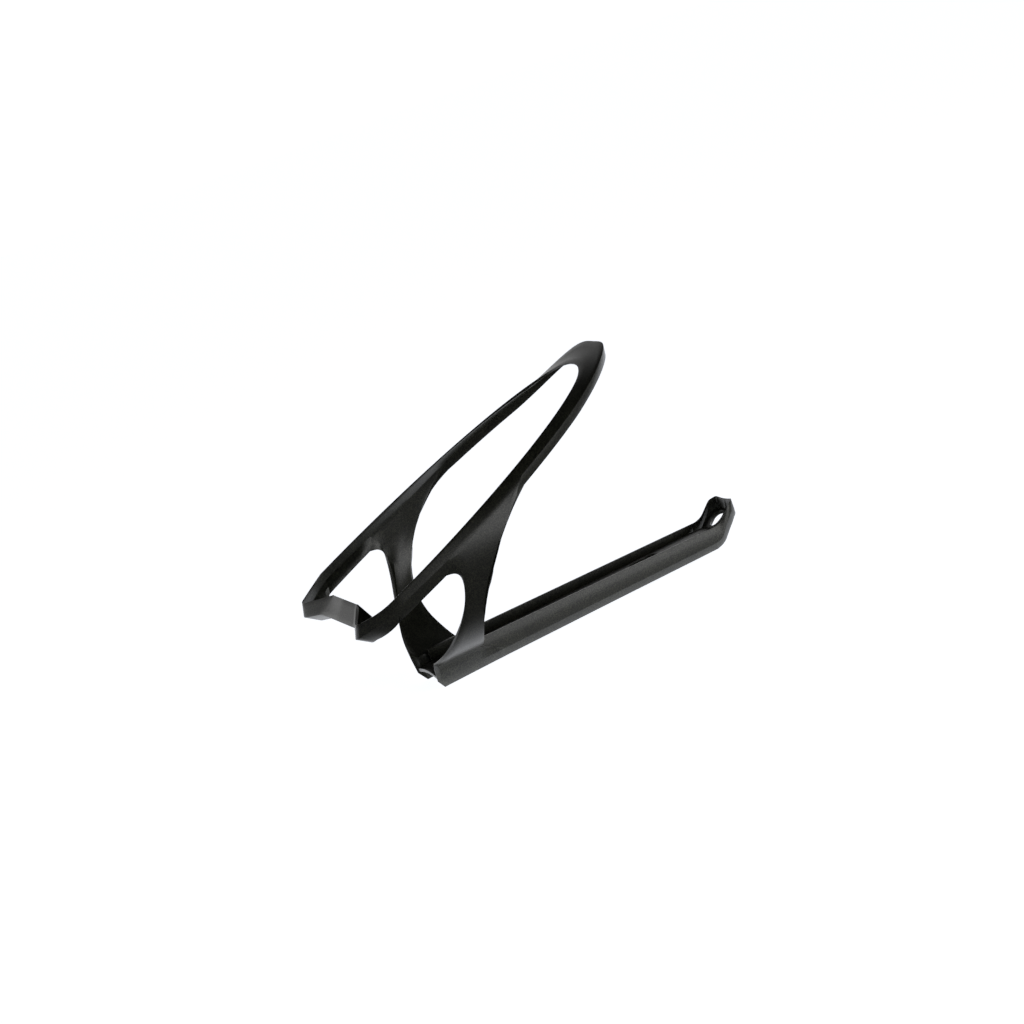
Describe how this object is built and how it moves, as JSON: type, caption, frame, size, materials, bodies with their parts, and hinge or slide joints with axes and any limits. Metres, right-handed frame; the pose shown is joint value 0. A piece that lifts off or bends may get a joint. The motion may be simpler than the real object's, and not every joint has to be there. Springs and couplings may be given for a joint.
{
  "type": "water bottle cage",
  "caption": "Carbon-composite bottle cage: slotted rail, two curved legs and a slanted hoop that grips a bicycle bottle, with a kicked-up lip and a base crosspiece",
  "frame": {"origin": "middle of the flat seat that bolts to the frame tube, halfway between the two slots", "axes": "+X along the tube from foot to lip, the way the bottle is pulled out; +Y to the left; +Z from the tube towards the bottle"},
  "size_m": [0.1542, 0.0782, 0.0883],
  "materials": {
    "laminate": "satin black carbon-fibre laminate with a fine speckled grain",
    "seat": "matt black moulded seat strip"
  },
  "bodies": {
    "root": {"rail_wall_left": "laminate", "rail_wall_right": "laminate", "foot_web_left": "laminate", "foot_web_right": "laminate", "lip_cheek_left": "laminate", "lip_cheek_right": "laminate", "leg_left": "laminate", "leg_right": "laminate", "hoop_lower_left": "laminate", "hoop_lower_right": "laminate", "hoop_middle_left": "laminate", "hoop_middle_right": "laminate", "hoop_upper_left": "laminate", "hoop_upper_right": "laminate", "tail_corner_left": "laminate", "tail_corner_right": "laminate", "base_shoulder_left": "laminate", "base_shoulder_right": "laminate", "rail_floor": "laminate", "tube_seat": "seat", "lip_ramp": "laminate", "lip_end_wall": "laminate", "hoop_nose": "laminate", "base_panel": "laminate"}
  },
  "joints": []
}
